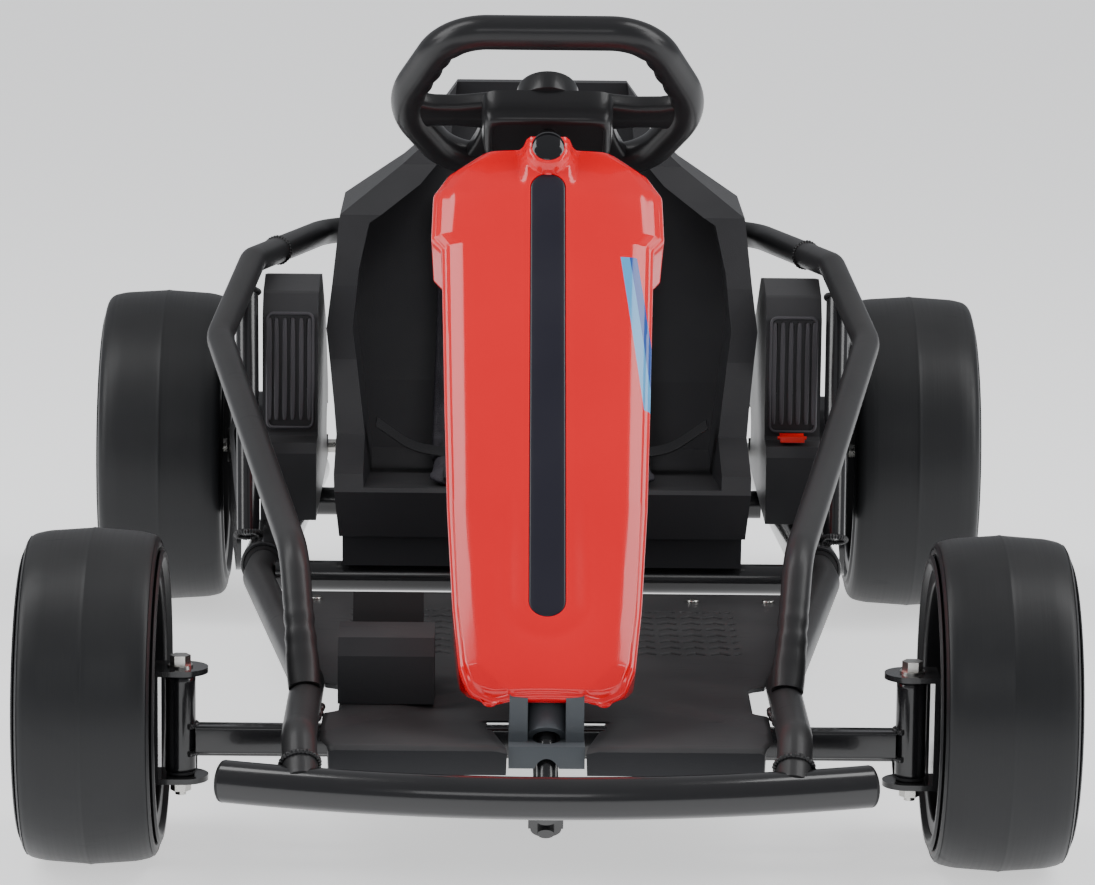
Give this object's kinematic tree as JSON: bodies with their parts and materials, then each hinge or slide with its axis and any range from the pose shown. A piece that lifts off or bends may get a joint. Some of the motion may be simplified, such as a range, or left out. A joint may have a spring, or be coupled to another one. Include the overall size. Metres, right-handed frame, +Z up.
{
  "type": "ride-on electric drift kart",
  "caption": "Child's electric drift kart: tube frame with bowed bumper, steered front wheels, driven rear wheels, bucket seat, nose cover, steering wheel and pedal.",
  "frame": {"origin": "on the ground under the middle of the overall length and width", "axes": "+X to the driver's left, +Y towards the rear, +Z up; the nose faces -Y"},
  "size_m": [0.768, 1.1725, 0.5794],
  "materials": {
    "frame_paint": "gloss black powder coat",
    "moulded_black": "fine-grained moulded black",
    "seat_plastic": "fine-grained moulded black",
    "wheel_plastic": "satin moulded black",
    "grip_black": "soft satin black",
    "tyre_black": "smooth satin black",
    "hood_red": "high gloss red",
    "stripe_dark": "satin blue-black film",
    "upholstery": "charcoal leatherette",
    "webbing": "woven black",
    "buckle_black": "gloss black",
    "button_red": "gloss red",
    "zinc_steel": "bright zinc plate",
    "nylon": "dark grey nylon",
    "motor_can": "dull steel",
    "battery_case": "ribbed dark case",
    "alloy_box": "anodised"
  },
  "bodies": {
    "chassis": {"axle_plate_left": "frame_paint", "axle_plate_right": "frame_paint", "battery": "battery_case", "belt_buckle": "buckle_black", "belt_left": "webbing", "belt_right": "webbing", "body_screws": "zinc_steel", "bumper": "frame_paint", "bumper_caps": "moulded_black", "control_box": "alloy_box", "drive_motors": "motor_can", "floor_pan": "moulded_black", "front_beam": "frame_paint", "gearboxes": "nylon", "hood": "hood_red", "hood_stripe": "stripe_dark", "hoop_posts": "frame_paint", "lower_rail_left": "frame_paint", "lower_rail_right": "frame_paint", "motor_cover_left": "moulded_black", "motor_cover_right": "moulded_black", "nylon_bushes": "nylon", "pedal_housing": "moulded_black", "pedal_spring": "zinc_steel", "rail_sleeves": "moulded_black", "rear_axle": "zinc_steel", "rear_hoop": "frame_paint", "rear_rail_left": "frame_paint", "rear_rail_right": "frame_paint", "seat_base": "moulded_black", "seat_crossbars": "frame_paint", "seat_pad": "upholstery", "seat_shell": "seat_plastic", "side_bar_left": "frame_paint", "side_bar_right": "frame_paint", "steering_support": "moulded_black"},
    "knuckle_left": {"knuckle_left": "frame_paint", "knuckle_fasteners_left": "zinc_steel"},
    "front_wheel_left": {"front_tyre_left": "tyre_black", "front_rim_left": "wheel_plastic"},
    "rear_wheel_left": {"rear_tyre_left": "tyre_black", "rear_rim_left": "wheel_plastic", "drive_gear_left": "nylon"},
    "pinion_left": {"motor_pinion_left": "motor_can"},
    "knuckle_right": {"knuckle_right": "frame_paint", "knuckle_fasteners_right": "zinc_steel"},
    "front_wheel_right": {"front_tyre_right": "tyre_black", "front_rim_right": "wheel_plastic"},
    "rear_wheel_right": {"rear_tyre_right": "tyre_black", "rear_rim_right": "wheel_plastic", "drive_gear_right": "nylon"},
    "pinion_right": {"motor_pinion_right": "motor_can"},
    "steering": {"steering_column": "frame_paint", "steering_wheel": "grip_black", "wheel_module": "grip_black"},
    "horn": {"horn_button": "button_red"},
    "rod": {"track_rod": "frame_paint"},
    "pedal": {"accelerator_pedal": "moulded_black"},
    "switch": {"power_switch": "button_red"},
    "release": {"belt_release": "button_red"}
  },
  "joints": [
    {"name": "steering_turn", "type": "hinge", "parent": "chassis", "child": "steering", "pos_m": [0, -0.05625, 0.51], "axis": [0, 0.7071, 0.7071], "range_deg": [-45, 45]},
    {"name": "horn_press", "type": "slide", "parent": "steering", "child": "horn", "axis": [0, -0.7071, -0.7071], "range_m": [0, 0.0025], "stiffness_N_per_m": 1200, "springref_m": -0.001},
    {"name": "steer_left", "type": "hinge", "parent": "chassis", "child": "knuckle_left", "pos_m": [0.262, -0.43125, 0.1], "axis": [0, 0, 1], "range_deg": [-22.5, 22.5]},
    {"name": "steer_right", "type": "hinge", "parent": "chassis", "child": "knuckle_right", "pos_m": [-0.262, -0.43125, 0.1], "axis": [0, 0, 1], "range_deg": [-22.5, 22.5]},
    {"name": "rod_swing", "type": "hinge", "parent": "knuckle_right", "child": "rod", "pos_m": [-0.262, -0.38125, 0.069], "axis": [0, 0, 1], "range_deg": [-22.5, 22.5]},
    {"name": "front_roll_left", "type": "hinge", "parent": "knuckle_left", "child": "front_wheel_left", "pos_m": [0.324, -0.43125, 0.1205], "axis": [1, 0, 0], "continuous": true},
    {"name": "front_roll_right", "type": "hinge", "parent": "knuckle_right", "child": "front_wheel_right", "pos_m": [-0.324, -0.43125, 0.1205], "axis": [1, 0, 0], "continuous": true},
    {"name": "rear_roll_left", "type": "hinge", "parent": "chassis", "child": "rear_wheel_left", "pos_m": [0.329, 0.44875, 0.1375], "axis": [1, 0, 0], "continuous": true},
    {"name": "pinion_spin_left", "type": "hinge", "parent": "chassis", "child": "pinion_left", "pos_m": [0.2505, 0.40757, 0.16497], "axis": [1, 0, 0], "continuous": true},
    {"name": "rear_roll_right", "type": "hinge", "parent": "chassis", "child": "rear_wheel_right", "pos_m": [-0.329, 0.44875, 0.1375], "axis": [1, 0, 0], "continuous": true},
    {"name": "pinion_spin_right", "type": "hinge", "parent": "chassis", "child": "pinion_right", "pos_m": [-0.2505, 0.40757, 0.16497], "axis": [1, 0, 0], "continuous": true},
    {"name": "pedal_press", "type": "hinge", "parent": "chassis", "child": "pedal", "pos_m": [-0.116, -0.32525, 0.114], "axis": [1, 0, 0], "range_deg": [0, 12], "stiffness_Nm_per_rad": 0.8, "springref_deg": -20.05},
    {"name": "power_rock", "type": "hinge", "parent": "chassis", "child": "switch", "pos_m": [0.208, 0.15275, 0.2035], "axis": [1, 0, 0], "range_deg": [-7, 7]},
    {"name": "release_press", "type": "slide", "parent": "chassis", "child": "release", "axis": [0, 0, -1], "range_m": [0, 0.003], "stiffness_N_per_m": 800, "springref_m": -0.001}
  ],
  "couplings": [
    {"joint": "steer_left", "follows": "steering_turn", "ratio": 0.48889},
    {"joint": "steer_right", "follows": "steering_turn", "ratio": 0.48889},
    {"joint": "rod_swing", "follows": "steering_turn", "ratio": -0.48889},
    {"joint": "pinion_spin_left", "follows": "rear_roll_left", "ratio": -4.5},
    {"joint": "pinion_spin_right", "follows": "rear_roll_right", "ratio": -4.5}
  ]
}
